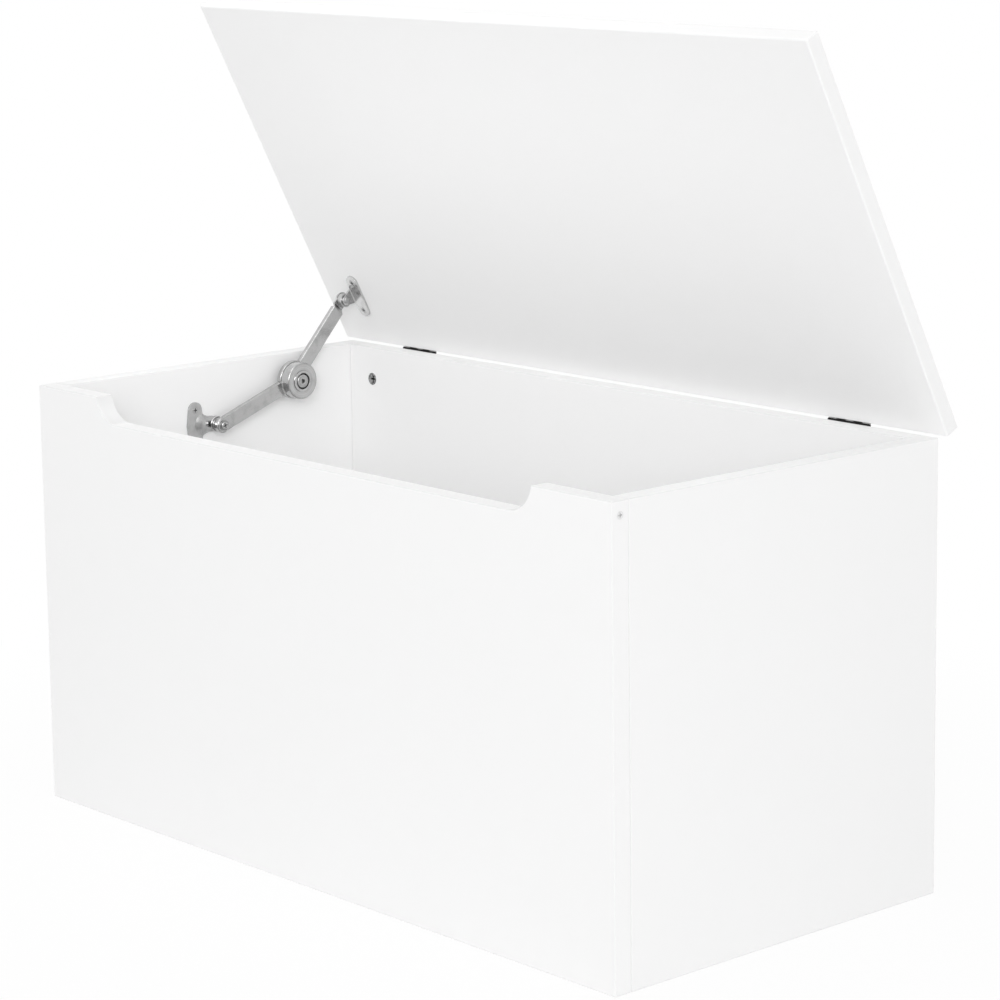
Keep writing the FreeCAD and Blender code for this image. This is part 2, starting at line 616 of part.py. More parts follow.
def lid_bracket(lid_closed):
    """Plate under the closed lid with a tab that hangs from its wall side."""
    middle = TAB_FRONT + LID_PLATE_END
    half = LID_PLATE_SCREWS / 2
    spots = [V(lid_closed.x + offset, middle, 0) for offset in (-half, half)]
    plate = strap(spots[0], LID_PLATE_END, spots[1], LID_PLATE_END, 0, PLATE)
    bridge = box(V(lid_closed.x - TAB_ROOT, TAB_BACK, 0), V(lid_closed.x + TAB_ROOT, middle, PLATE))
    plate = seated(plate.fuse(bridge), V(0, LID_UNDERSIDE, 0), X, Y * -1)
    root = V(lid_closed.x, LID_UNDERSIDE - PLATE, 0)
    tab = strap(root, TAB_ROOT, lid_closed, TAB_END, TAB_BACK, TAB_FRONT)
    above = box(V(root.x - 2 * TAB_ROOT, LID_UNDERSIDE, 0), V(root.x + 2 * TAB_ROOT, LID_UNDERSIDE + 2 * TAB_ROOT,
                                                             DRUM_FRONT))
    seats = [V(spot.x, LID_UNDERSIDE - PLATE, spot.y) for spot in spots]
    holes = [seated(screw_hole(*BRACKET_SCREW), seat, X, Y * -1) for seat in seats]
    holes.append(disc(RIVET_RADIUS + TIGHT_FIT, TAB_BACK, TAB_FRONT, lid_closed))
    return plate.fuse([tab.cut(above), hollow_bend(lid_closed)]).cut(holes).removeSplitter(), seats


def hollow_bend(lid_closed):
    """Hollow fillet between the lid bracket's plate and the front of its tab."""
    half = TAB_ROOT - TAB_BEND / 4
    under = LID_UNDERSIDE - PLATE
    corner = box(V(lid_closed.x - half, under - TAB_BEND, TAB_FRONT - PLATE / 2),
                 V(lid_closed.x + half, under + PLATE / 2, TAB_FRONT + TAB_BEND))
    hollow = Part.makeCylinder(TAB_BEND, 2 * half,
                               V(lid_closed.x - half, under - TAB_BEND, TAB_FRONT + TAB_BEND), X)
    return corner.cut(hollow)


def rivet(lid_closed):
    back = EYE_FRONT - SHEET
    body = turned([(0, back - RIVET_HEIGHT), (RIVET_HEAD, back - RIVET_HEIGHT), (RIVET_HEAD, back),
                   (RIVET_RADIUS, back), (RIVET_RADIUS, TAB_FRONT), (RIVET_HEAD, TAB_FRONT),
                   (RIVET_HEAD - RIVET_HEIGHT / 2, TAB_FRONT + RIVET_HEIGHT), (0, TAB_FRONT + RIVET_HEIGHT)])
    body.translate(lid_closed)
    return body


def lower_bush():
    """Bush behind the arm's eye, with a collar that runs on the lug's face."""
    foot = LUG_FRONT + LAYER_GAP
    body = turned([(PIVOT_RADIUS + TIGHT_FIT, foot), (BUSH_COLLAR, foot), (BUSH_COLLAR, foot + BUSH_COLLAR_HEIGHT),
                   (BUSH_RADIUS, foot + BUSH_COLLAR_HEIGHT), (BUSH_RADIUS, LOWER_BACK),
                   (PIVOT_RADIUS + TIGHT_FIT, LOWER_BACK)])
    return body


def pivot_screw():
    seat = LOWER_FRONT + PAD_HEIGHT + PIVOT_WASHER_HEIGHT
    top = seat + PIVOT_HEAD_HEIGHT
    edge = PIVOT_HEAD - PIVOT_HEAD_HEIGHT / 2
    body = turned([(0, LUG_FRONT + LAYER_GAP), (PIVOT_RADIUS, LUG_FRONT + LAYER_GAP), (PIVOT_RADIUS, seat),
                   (PIVOT_HEAD, seat), (PIVOT_HEAD, seat + PIVOT_HEAD_HEIGHT / 2), (edge, top), (0, top)])
    recess = cross_recess(PIVOT_HEAD)
    recess.translate(V(0, 0, top))
    return body.cut(recess)


def save_body():
    boards = {
        "front_panel": front_panel_blank(),
        "back_panel": back_panel_blank(),
        "left_side_panel": side_panel_blank(-1),
        "right_side_panel": side_panel_blank(1),
    }
    groove = box(*base_extent(GROOVE_PLAY))
    for name in boards:
        boards[name] = boards[name].cut(groove)
    fittings = fit_corners(boards)
    end_screws = []
    for side in (-1, 1):
        place = V(side * HALF_WIDTH, BOARD / 2, BODY_HEIGHT - END_SCREW_FROM_TOP)
        boards["front_panel"] = boards["front_panel"].cut(seated(screw_hole(*END_SCREW), place, Z, X * side))
        end_screws.append(seated(countersunk_screw(*END_SCREW), place, Z, X * side))
    fittings["front_panel_end_screws"] = end_screws
    for name, solids in fittings.items():
        save(name, Part.makeCompound(solids))
    save("bottom_panel", box(*base_extent(0)))
    return boards


def save_hinges(boards):
    """Save the hinges and bore the back panel and the lid for their screws. Returns the closed lid."""
    lid = lid_board()
    screws = {"hinge_back_screws": [], "hinge_lid_screws": []}
    screw, hole = countersunk_screw(*HINGE_SCREW), screw_hole(*HINGE_SCREW)
    for side, name in ((-1, "left"), (1, "right")):
        centre = side * (HALF_WIDTH - HINGE_FROM_END)
        save(name + "_hinge_back_leaf", hinge_leaf(centre, -1))
        save(name + "_hinge_lid_leaf", opened(hinge_leaf(centre, 1)))
        save(name + "_hinge_pin", hinge_pin(centre))
        for place in hinge_screw_places(centre, -1):
            boards["back_panel"] = boards["back_panel"].cut(seated(hole, place, X, Y))
            screws["hinge_back_screws"].append(seated(screw, place, X, Y))
        for place in hinge_screw_places(centre, 1):
            lid = lid.cut(seated(hole, place, X, Y))
            screws["hinge_lid_screws"].append(opened(seated(screw, place, X, Y)))
    for name, solids in screws.items():
        save(name, Part.makeCompound(solids))
    return lid


def save_stay(boards, lid):
    """Save the stay and bore the left wall and the lid for its screws. Returns the closed lid."""
    wall, elbow, lid_open = stay_pivots()
    length = elbow.sub(wall).Length
    screw, hole = countersunk_screw(*BRACKET_SCREW), screw_hole(*BRACKET_SCREW)

    bracket, ends = wall_bracket(wall)
    save("stay_side_bracket", on_wall(bracket))
    seats = [end.add(V(0, 0, PLATE)) for end in ends]
    save("stay_side_bracket_screws", Part.makeCompound([on_wall(seated(screw, seat, X, Z)) for seat in seats]))
    boards["left_side_panel"] = boards["left_side_panel"].cut(
        [on_wall(seated(hole, seat, X, Z)) for seat in seats])

    arm = lower_arm(length)
    save("stay_lower_arm", on_wall(along_arm(arm, wall, elbow)))
    washer = bored_disc(PIVOT_WASHER, PIVOT_RADIUS + TIGHT_FIT, LOWER_FRONT + PAD_HEIGHT,
                        LOWER_FRONT + PAD_HEIGHT + PIVOT_WASHER_HEIGHT)
    for name, shape in (("bush", lower_bush()), ("washer", washer), ("screw", pivot_screw())):
        save("stay_lower_pivot_" + name, on_wall(along_arm(shape, wall, elbow)))

    save("stay_upper_arm", on_wall(along_arm(upper_arm(length), elbow, lid_open)))
    plate_low = UPPER_FRONT + FRICTION_DISC
    plate_high = plate_low + PRESSURE_PLATE
    disc_rim = DRUM_RADIUS - SHEET - DRUM_SIDE_PLAY
    bore = BOLT_RADIUS + TIGHT_FIT
    stack = {
        "stay_friction_disc": bored_disc(disc_rim, bore, UPPER_FRONT, plate_low),
        "stay_pressure_plate": bored_disc(disc_rim, bore, plate_low, plate_high),
        "stay_disc_spring": disc_spring(plate_high, BOSS_TOP - BOSS_HEIGHT),
        "stay_centre_bolt": centre_bolt(),
    }
    for name, shape in stack.items():
        save(name, on_wall(along_arm(shape, elbow, lid_open)))

    lid_closed = lid_pivot_closed()
    bracket, seats = lid_bracket(lid_closed)
    save("stay_lid_bracket", on_wall(swung_open(bracket)))
    save("stay_lid_bracket_screws", Part.makeCompound(
        [on_wall(swung_open(seated(screw, seat, X, Y * -1))) for seat in seats]))
    ring = bored_disc(RING_RADIUS, RIVET_RADIUS + TIGHT_FIT, EYE_FRONT + LAYER_GAP, TAB_BACK)
    ring.translate(lid_closed)
    save("stay_upper_pivot_ring", on_wall(swung_open(ring)))
    save("stay_upper_pivot_rivet", on_wall(swung_open(rivet(lid_closed))))
    return lid.cut([on_wall(seated(hole, seat, X, Y * -1)) for seat in seats])


def main():
    os.makedirs("parts", exist_ok=True)
    boards = save_body()
    lid = save_hinges(boards)
    lid = save_stay(boards, lid)
    for name, board in boards.items():
        save(name, board)
    save("lid_panel", opened(lid))


main()
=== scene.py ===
"""Looks of a white board storage chest with a folding friction stay: finishes, studio and camera."""

from __future__ import annotations

import logging
import math
from dataclasses import dataclass
from enum import Enum
from typing import Any, Mapping, Sequence, Union

import bmesh
import bpy
from mathutils import Euler, Matrix, Vector

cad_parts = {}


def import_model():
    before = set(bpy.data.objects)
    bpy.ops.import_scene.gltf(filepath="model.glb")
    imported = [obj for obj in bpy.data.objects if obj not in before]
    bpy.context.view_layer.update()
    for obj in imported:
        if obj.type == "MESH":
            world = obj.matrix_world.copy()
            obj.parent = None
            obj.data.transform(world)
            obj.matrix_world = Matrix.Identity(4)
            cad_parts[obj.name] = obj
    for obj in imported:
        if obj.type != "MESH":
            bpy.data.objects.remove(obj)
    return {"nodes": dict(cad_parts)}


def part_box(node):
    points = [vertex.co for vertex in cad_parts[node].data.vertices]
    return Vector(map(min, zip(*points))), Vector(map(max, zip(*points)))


LOG = logging.getLogger("chest")
MM = 0.001
RECESS_SAMPLES = 8
EDGE_SAMPLES = 4
MIX_FACTOR, MIX_FIRST, MIX_SECOND, MIX_RESULT = 0, 6, 7, 2
Number = Union["Shade", float]
Colour = tuple[float, float, float, float]


def grey(level: float, warmth: float = 0.0) -> Colour:
    """A grey, a little warmer or cooler than neutral."""
    return (level * (1.0 + warmth), level, level * (1.0 - warmth), 1.0)


class Shade:
    """A number inside a material's node tree that takes part in Python arithmetic."""

    def __init__(self, recipe: "Graph", socket: bpy.types.NodeSocket) -> None:
        """Wrap one output socket of the recipe's tree."""
        self.recipe = recipe
        self.socket = socket

    def _math(self, operation: str, *values: Number) -> "Shade":
        """Add a Math node on the given values and wrap its result."""
        node = self.recipe.make("ShaderNodeMath", {"operation": operation}, dict(enumerate(values)))
        return Shade(self.recipe, node.outputs[0])

    def __add__(self, other: Number) -> "Shade":
        """Sum."""
        return self._math("ADD", self, other)

    def __radd__(self, other: float) -> "Shade":
        """Sum with a plain number on the left."""
        return self._math("ADD", other, self)

    def __sub__(self, other: Number) -> "Shade":
        """Difference."""
        return self._math("SUBTRACT", self, other)

    def __rsub__(self, other: float) -> "Shade":
        """Difference from a plain number on the left."""
        return self._math("SUBTRACT", other, self)

    def __mul__(self, other: Number) -> "Shade":
        """Product."""
        return self._math("MULTIPLY", self, other)

    def __rmul__(self, other: float) -> "Shade":
        """Product with a plain number on the left."""
        return self._math("MULTIPLY", other, self)

    def __abs__(self) -> "Shade":
        """Absolute value."""
        return self._math("ABSOLUTE", self)

    def lower_of(self, other: Number) -> "Shade":
        """The smaller of two values."""
        return self._math("MINIMUM", self, other)

    def higher_of(self, other: Number) -> "Shade":
        """The larger of two values."""
        return self._math("MAXIMUM", self, other)

    def root(self) -> "Shade":
        """Square root."""
        return self._math("SQRT", self)

    def ramp(self, low: float, high: float) -> "Shade":
        """Smooth step of the value.

        Args:
            low: The value at which the step is still 0.
            high: The value at which it has reached 1.

        Returns:
            The step.
        """
        sockets = {"Value": self, "From Min": low, "From Max": high, "To Min": 0.0, "To Max": 1.0}
        node = self.recipe.make("ShaderNodeMapRange", {"interpolation_type": "SMOOTHSTEP"}, sockets)
        return Shade(self.recipe, node.outputs["Result"])


class Graph:
    """A node tree under construction."""

    def __init__(self, owner: bpy.types.ID) -> None:
        """Start from the empty tree of a material or a world.

        Args:
            owner: The material or world.
        """
        owner.use_nodes = True
        self.tree = owner.node_tree
        self.tree.nodes.clear()

    def make(self, kind: str, settings: Mapping[str, Any] | None = None,
             sockets: Mapping[Any, Any] | None = None) -> bpy.types.Node:
        """Add a node.

        Args:
            kind: The node's type name.
            settings: Its properties, which are set first.
            sockets: Values, sockets or shades for its inputs, by name or index.

        Returns:
            The new node.
        """
        node = self.tree.nodes.new(kind)
        for name, value in (settings or {}).items():
            setattr(node, name, value)
        for key, value in (sockets or {}).items():
            self.feed(node.inputs[key], value)
        return node

    def feed(self, socket: bpy.types.NodeSocket, value: Any) -> None:
        """Link a shade or socket to an input, or set a plain value on it.

        Args:
            socket: The input.
            value: The shade, socket or plain value.
        """
        if isinstance(value, Shade):
            value = value.socket
        if isinstance(value, bpy.types.NodeSocket):
            self.tree.links.new(value, socket)
        else:
            socket.default_value = value

    def coordinates(self, location: Vector | None = None, rotation: Euler | None = None,
                    scale: Sequence[float] = (1.0, 1.0, 1.0)) -> bpy.types.NodeSocket:
        """Object coordinates in a piece's own frame.

        Args:
            location: Where the row frame's origin goes.
            rotation: How the row frame turns.
            scale: How far each axis is stretched.

        Returns:
            The socket of the mapped coordinates.
        """
        source = self.make("ShaderNodeTexCoord").outputs["Object"]
        sockets = {"Vector": source, "Location": location or Vector(), "Rotation": rotation or Euler(),
                   "Scale": scale}
        return self.make("ShaderNodeMapping", {"vector_type": "POINT"}, sockets).outputs["Vector"]

    def axes(self, vector: bpy.types.NodeSocket) -> tuple[Shade, Shade, Shade]:
        """The three parts of a vector."""
        node = self.make("ShaderNodeSeparateXYZ", sockets={"Vector": vector})
        return tuple(Shade(self, output) for output in node.outputs)

    def vector(self, x: Number, y: Number, z: Number) -> bpy.types.NodeSocket:
        """A vector from three values."""
        return self.make("ShaderNodeCombineXYZ", sockets={"X": x, "Y": y, "Z": z}).outputs["Vector"]

    def noise(self, vector: bpy.types.NodeSocket, size: float, detail: float = 2.0,
              roughness: float = 0.5) -> Shade:
        """Noise with lumps of about one size, in the vector's units."""
        sockets = {"Vector": vector, "Scale": 1.0 / size, "Detail": detail, "Roughness": roughness}
        return Shade(self, self.make("ShaderNodeTexNoise", sockets=sockets).outputs[0])

    def mix(self, factor: Number, first: Any, second: Any) -> bpy.types.NodeSocket:
        """Colour between two colours."""
        sockets = {MIX_FACTOR: factor, MIX_FIRST: first, MIX_SECOND: second}
        return self.make("ShaderNodeMix", {"data_type": "RGBA"}, sockets).outputs[MIX_RESULT]

    def bump(self, height: Shade, distance: float, strength: float = 1.0,
             edge: float = 0.0) -> bpy.types.NodeSocket:
        """Surface normal from a height.

        Args:
            height: The height, from 0 to 1.
            distance: How far a height of 1 stands out.
            strength: How much of the bump shows.
            edge: Radius that softens the piece's edges, if any.

        Returns:
            The socket of the normal.
        """
        sockets = {"Height": height, "Distance": distance, "Strength": strength}
        if edge:
            bevel = self.make("ShaderNodeBevel", {"samples": EDGE_SAMPLES}, {"Radius": edge})
            sockets["Normal"] = bevel.outputs["Normal"]
        return self.make("ShaderNodeBump", sockets=sockets).outputs["Normal"]

    def openness(self, reach: float) -> Shade:
        """How free a point lies, for the shade that is painted dark into recesses and gaps.

        Args:
            reach: How far away other surfaces count.

        Returns:
            A shade from 0 deep in a recess or gap to 1 on an open face.
        """
        settings = {"samples": RECESS_SAMPLES, "inside": False, "only_local": False}
        node = self.make("ShaderNodeAmbientOcclusion", settings, {"Distance": reach})
        return Shade(self, node.outputs["AO"])

    def seen_directly(self) -> Shade:
        """Mask of the rays that show a surface to the camera, straight or by way of metal or glass.

        Returns:
            A shade that is 1 on those rays and 0 on the ones that carry light.
        """
        path = self.make("ShaderNodeLightPath")
        camera, glossy, through = (Shade(self, path.outputs[f"Is {kind} Ray"])
                                   for kind in ("Camera", "Glossy", "Transmission"))
        return camera.higher_of(glossy).higher_of(through)


class Recipe(Graph):
    """A material under construction."""

    def __init__(self, name: str) -> None:
        """Start a material with its output and one principled shader.

        Args:
            name: The material's name.
        """
        self.material = bpy.data.materials.new(name)
        super().__init__(self.material)
        self.shader = self.make("ShaderNodeBsdfPrincipled")
        self.output = self.make("ShaderNodeOutputMaterial", sockets={"Surface": self.shader.outputs["BSDF"]})

    def set(self, **inputs: Any) -> None:
        """Feed the principled shader, with underscores for the spaces in its socket names."""
        for name, value in inputs.items():
            self.feed(self.shader.inputs[name.replace("_", " ")], value)


class Grain(Enum):
    """Which way the marks of a metal's finishing run."""

    ALONG = "along"
    TURNED = "turned"
    TUMBLED = "tumbled"


@dataclass(frozen=True)
class BoardPlace:
    """Where a board lies: the middle of its solid, its half sizes and its turn about X."""

    centre: Vector
    half: Vector
    tilt: float = 0.0

    def frame(self) -> tuple[Vector, Euler]:
        """Location and rotation of the mapping that carries row coordinates into the board's frame."""
        back = Matrix.Rotation(-self.tilt, 3, "X")
        return -(back @ self.centre), Euler((-self.tilt, 0.0, 0.0))


@dataclass(frozen=True)
class Notch:
    """Cut-out in a board's top edge with rounded lower corners, about the board's own middle.

    The skin is the depth over which the shade painted on its outline fades, and the run-in the length over
    which the shade painted into a rounded end starts.
    """

    half_width: float
    sill: float
    corner: float
    skin: tuple[float, float] = (0.2 * MM, 0.8 * MM)
    run_in: float = 8.4 * MM

    def beside(self, x: Shade) -> Shade:
        """Distance past the flat part of the sill, into one of the rounded ends."""
        return (abs(x) - self.half_width).higher_of(0.0)

    def depth_in_wood(self, x: Shade, z: Shade) -> Shade:
        """Distance from the cut-out's outline into the board.

        Args:
            x: Place along the board, from its middle.
            z: Height, from its middle.

        Returns:
            The distance, below 0 in the open cut-out.
        """
        beside = self.beside(x)
        below = self.sill + self.corner - z
        return (beside * beside + below * below).root() - self.corner

    def ends(self, x: Shade, z: Shade) -> Shade:
        """Mask of the cut-out's two rounded ends, for the shade painted there."""
        on_outline = 1.0 - self.depth_in_wood(x, z).ramp(*self.skin)
        return on_outline * self.beside(x).ramp(0.0, self.run_in)


@dataclass(frozen=True)
class WhiteLacquer:
    """Satin white lacquer on board, with a fine orange peel, and grey shade painted over its edges.

    Level, shade and thin are its greys: full, a little duller in places, and the shade painted over an edge.
    Lengths are the sizes of the uneven patches, from the broad drift to the finest fleck, and the width of
    the painted edge shade.
    """

    level: float = 0.9
    shade: float = 0.84
    # grey of the shade painted over the board's edges
    thin: float = 0.78
    warmth: float = 0.004
    roughness: float = 0.45
    gloss: float = 0.35
    drift: float = 160 * MM
    cloud: float = 21 * MM
    peel: float = 1.6 * MM
    fleck: float = 0.35 * MM
    relief: float = 0.03 * MM
    edge: float = 0.9 * MM

    def build(self, name: str, place: BoardPlace, notch: Notch | None = None) -> bpy.types.Material:
        """Make the finish for one board.

        Args:
            name: The material's name.
            place: Where the board lies, for its edges.
            notch: The cut-out in the board's top edge, if it has one.

        Returns:
            The material.
        """
        recipe = Recipe(name)
        location, rotation = place.frame()
        local = recipe.coordinates(location, rotation)
        parts = recipe.axes(local)
        insets = [place.half[axis] - abs(parts[axis]) for axis in range(3)]
        if notch:
            insets[2] = insets[2].lower_of(notch.depth_in_wood(parts[0], parts[2]))
        low, high = insets[0].lower_of(insets[1]), insets[0].higher_of(insets[1])
        # painted shade: a grey band along each edge of the board and round the cut-out's outline
        edge_shade = 1.0 - low.higher_of(high.lower_of(insets[2])).ramp(0.0, self.edge)
        # painted shade: the cut-out's two rounded ends are greyed as well
        if notch:
            edge_shade = edge_shade.higher_of(notch.ends(parts[0], parts[2]))
        drift = recipe.noise(local, self.drift, 3.0)
        cloud = recipe.noise(local, self.cloud, 2.0)
        peel = recipe.noise(local, self.peel, 1.0)
        fleck = recipe.noise(local, self.fleck, 1.0)
        dull = drift * 0.12 + cloud * 0.06
        full = recipe.mix(dull, grey(self.level), grey(self.shade, self.warmth))
        recipe.set(
            Base_Color=recipe.mix(edge_shade, full, grey(self.thin)),
            Roughness=self.roughness + drift * 0.06 + cloud * 0.04 + edge_shade * 0.15,
            Specular_IOR_Level=self.gloss,
            Normal=recipe.bump(peel * 0.8 + fleck * 0.2, self.relief, 0.5),
        )
        return recipe.material


@dataclass(frozen=True)
class PressedNickel:
    """Satin nickel plate on pressed steel, with fine marks that run along it or round an axis, and broad
    rings of painted shading round an axis.

    Level and stain are its greys, bright and in a mark or smudge; the third grey is the shade painted deep in
    a gap. A stretch draws marks out lengthwise, and a band is the part of a noise that shows.
    """

    level: float = 0.64
    stain: float = 0.37
    gap_shade: float = 0.05
    roughness: float = 0.17
    scratch: float = 0.16 * MM
    scratch_stretch: float = 0.02
    tumble: float = 0.48 * MM
    # the next two set the broad rings of painted shading
    turning: float = 3.0 * MM
    turning_band: tuple[float, float] = (0.3, 0.7)
    turning_stretch: float = 0.05
    turning_end: float = 0.5 * MM
    smudge: float = 9 * MM
    smudge_band: tuple[float, float] = (0.42, 0.72)
    relief: float = 0.002 * MM
    edge: float = 0.4 * MM
    gap: float = 1.6 * MM
    gap_shade_ramp: tuple[float, float] = (0.15, 0.75)

    def build(self, name: str, grain: Grain, axis: Vector = Vector(), slope: float = 0.0,
              turned_to: float = 0.0) -> bpy.types.Material:
        """Make the finish for one piece.

        Args:
            name: The material's name.
            grain: How the finishing marks run.
            axis: A point on the piece's axis, for marks that run along it or round it.
            slope: The piece's rise towards the rear, in radians, for marks that run along it.
            turned_to: Radius about the axis inside which the marks run round it.

        Returns:
            The material.
        """
        recipe = Recipe(name)
        turn = Matrix.Rotation(-slope, 3, "X")
        local = recipe.coordinates(-(turn @ axis), Euler((-slope, 0.0, 0.0)))
        x, y, z = recipe.axes(local)
        radius = (y * y + z * z).root()
        across_rings = recipe.vector(radius, x * self.turning_stretch, 0.0)
        fine_rings = recipe.noise(across_rings, self.scratch, 3.0, 0.65)
        # painted shading: broad rings of lighter and darker tone round the axis stand in for the light on a
        # slightly dished face; in roughness and bump they act as turning marks
        broad_rings_and_dish_shading = recipe.noise(recipe.vector(radius, 0.0, 0.0), self.turning, 1.0)
        rings = 0.25 * fine_rings + 0.75 * broad_rings_and_dish_shading.ramp(*self.turning_band)
        across_lines = recipe.vector(x, y * self.scratch_stretch, z)
        lines = recipe.noise(across_lines, self.scratch, 3.0, 0.65)
        tumbled = recipe.noise(local, self.tumble, 3.0, 0.6)
        if grain is Grain.TURNED:
            marks = rings
        elif grain is Grain.TUMBLED:
            marks = 0.35 + 0.3 * tumbled
        else:
            inside = 1.0 - radius.ramp(turned_to, turned_to + self.turning_end)
            marks = rings * inside + lines * (1.0 - inside)
        smudge = recipe.noise(local, self.smudge, 3.0, 0.55).ramp(*self.smudge_band)
        plate = recipe.mix(smudge * 0.3 + marks * 0.8, grey(self.level), grey(self.stain))
        # painted shade: the plate darkens towards a near-black grey in recesses and gaps, where shade falls
        unshaded = recipe.openness(self.gap).ramp(*self.gap_shade_ramp)
        recipe.set(
            Base_Color=recipe.mix(unshaded, grey(self.gap_shade), plate),
            Metallic=1.0,
            Roughness=self.roughness + smudge * 0.05 + marks * 0.06,
            Normal=recipe.bump(marks, self.relief, 0.5, self.edge),
        )
        return recipe.material


@dataclass(frozen=True)
class CoatedSteel:
    """Steel under a thin even coat of paint or plating, a little uneven at close range.

    Worn is the share of its level where the coat is thin, and the second share gives the shade painted deep
    in a gap.
    """

    level: float
    roughness: float
    metallic: float = 0.0
    gap_shade: float = 0.1
    worn: float = 0.75
    gloss: float = 0.5
    cloud: float = 4 * MM
    pit: float = 0.3 * MM
    relief: float = 0.006 * MM
    edge: float = 0.25 * MM
    gap: float = 1.5 * MM
    gap_shade_ramp: tuple[float, float] = (0.3, 0.9)

    def build(self, name: str) -> bpy.types.Material:
        """Make the finish.

        Args:
            name: The material's name.

        Returns:
            The material.
        """
        recipe = Recipe(name)
        local = recipe.coordinates()
        cloud = recipe.noise(local, self.cloud, 3.0)
        pit = recipe.noise(local, self.pit, 2.0)
        coat = recipe.mix(cloud * 0.6, grey(self.level), grey(self.worn * self.level))
        # painted shade: the coat darkens in recesses and gaps, where shade falls
        unshaded = recipe.openness(self.gap).ramp(*self.gap_shade_ramp)
        recipe.set(
            Base_Color=recipe.mix(unshaded, grey(self.gap_shade * self.level), coat),
            Metallic=self.metallic,
            Specular_IOR_Level=self.gloss,
            Roughness=self.roughness + cloud * 0.08,
            Normal=recipe.bump(pit, self.relief, 0.5, self.edge),
        )
        return recipe.material


@dataclass(frozen=True)
class CastZinc:
    """Die-cast zinc of a cam lock, with a grainy skin and shade painted dark into its recesses."""

    level: float = 0.5
    blotted: float = 0.175
    gap_shade: float = 0.02
    roughness: float = 0.26
    skin: float = 0.5 * MM
    blot: float = 2.2 * MM
    blot_band: tuple[float, float] = (0.36, 0.56)
    relief: float = 0.03 * MM
    edge: float = 0.3 * MM
    gap: float = 2.0 * MM
    gap_shade_ramp: tuple[float, float] = (0.3, 0.8)

    def build(self, name: str) -> bpy.types.Material:
        """Make the finish.

        Args:
            name: The material's name.

        Returns:
            The material.
        """
        recipe = Recipe(name)
        local = recipe.coordinates()
        skin = recipe.noise(local, self.skin, 3.0, 0.6)
        blot = recipe.noise(local, self.blot, 2.0).ramp(*self.blot_band)
        cast = recipe.mix(blot, grey(self.level), grey(self.blotted))
        # painted shade: the zinc turns near-black in its recesses, where shade falls
        unshaded = recipe.openness(self.gap).ramp(*self.gap_shade_ramp)
        recipe.set(
            Base_Color=recipe.mix(unshaded, grey(self.gap_shade), cast),
            Metallic=1.0,
            Roughness=self.roughness + skin * 0.15,
            Normal=recipe.bump(skin, self.relief, 0.6, self.edge),
        )
        return recipe.material


@dataclass(frozen=True)
class RawBeech:
    """Turned beech of a dowel, with its grain along the peg."""

    pale: Colour = (0.62, 0.42, 0.24, 1.0)
    dark: Colour = (0.45, 0.27, 0.13, 1.0)
    fibre: float = 0.35 * MM
    fleck: float = 0.9 * MM
    fleck_band: tuple[float, float] = (0.58, 0.66)
    stretch: float = 0.06
    roughness: float = 0.6
    relief: float = 0.05 * MM

    def build(self, name: str, along_x: bool) -> bpy.types.Material:
        """Make the finish for one set of pegs.

        Args:
            name: The material's name.
            along_x: Whether the pegs lie along X, or else along Y.

        Returns:
            The material.
        """
        recipe = Recipe(name)
        scale = (self.stretch, 1.0, 1.0) if along_x else (1.0, self.stretch, 1.0)
        local = recipe.coordinates(scale=scale)
        fibre = recipe.noise(local, self.fibre, 4.0, 0.65)
        fleck = recipe.noise(local, self.fleck, 2.0).ramp(*self.fleck_band)
        recipe.set(
            Base_Color=recipe.mix(fibre * 0.7 + fleck * 0.3, self.pale, self.dark),
            Roughness=self.roughness + fibre * 0.15,
            Normal=recipe.bump(fibre, self.relief, 0.6),
        )
        return recipe.material


@dataclass(frozen=True)
class FibreLining:
    """Dark resin-bonded lining of the friction disc."""

    level: float = 0.05
    strand_level: float = 0.16
    warmth: float = 0.05
    strand: float = 0.3 * MM
    stretch: float = 0.3
    roughness: float = 0.75
    relief: float = 0.06 * MM

    def build(self, name: str) -> bpy.types.Material:
        """Make the finish.

        Args:
            name: The material's name.

        Returns:
            The material.
        """
        recipe = Recipe(name)
        local = recipe.coordinates(scale=(1.0, self.stretch, 1.0))
        strand = recipe.noise(local, self.strand, 4.0, 0.7)
        recipe.set(
            Base_Color=recipe.mix(strand, grey(self.level), grey(self.strand_level, self.warmth)),
            Roughness=self.roughness + strand * 0.15,
            Normal=recipe.bump(strand, self.relief),
        )
        return recipe.material


@dataclass
class SubAssembly:
    """CAD nodes that belong together and are dressed together."""

    nodes: Mapping[str, bpy.types.Object]

    def coat(self, node: str, material: bpy.types.Material) -> None:
        """Give a CAD node its finish.

        Args:
            node: The node's name.
            material: The finish that takes the place of its plain ones.
        """
        slots = self.nodes[node].data.materials
        slots.clear()
        slots.append(material)
        LOG.info("%s wears %s", node, material.name)


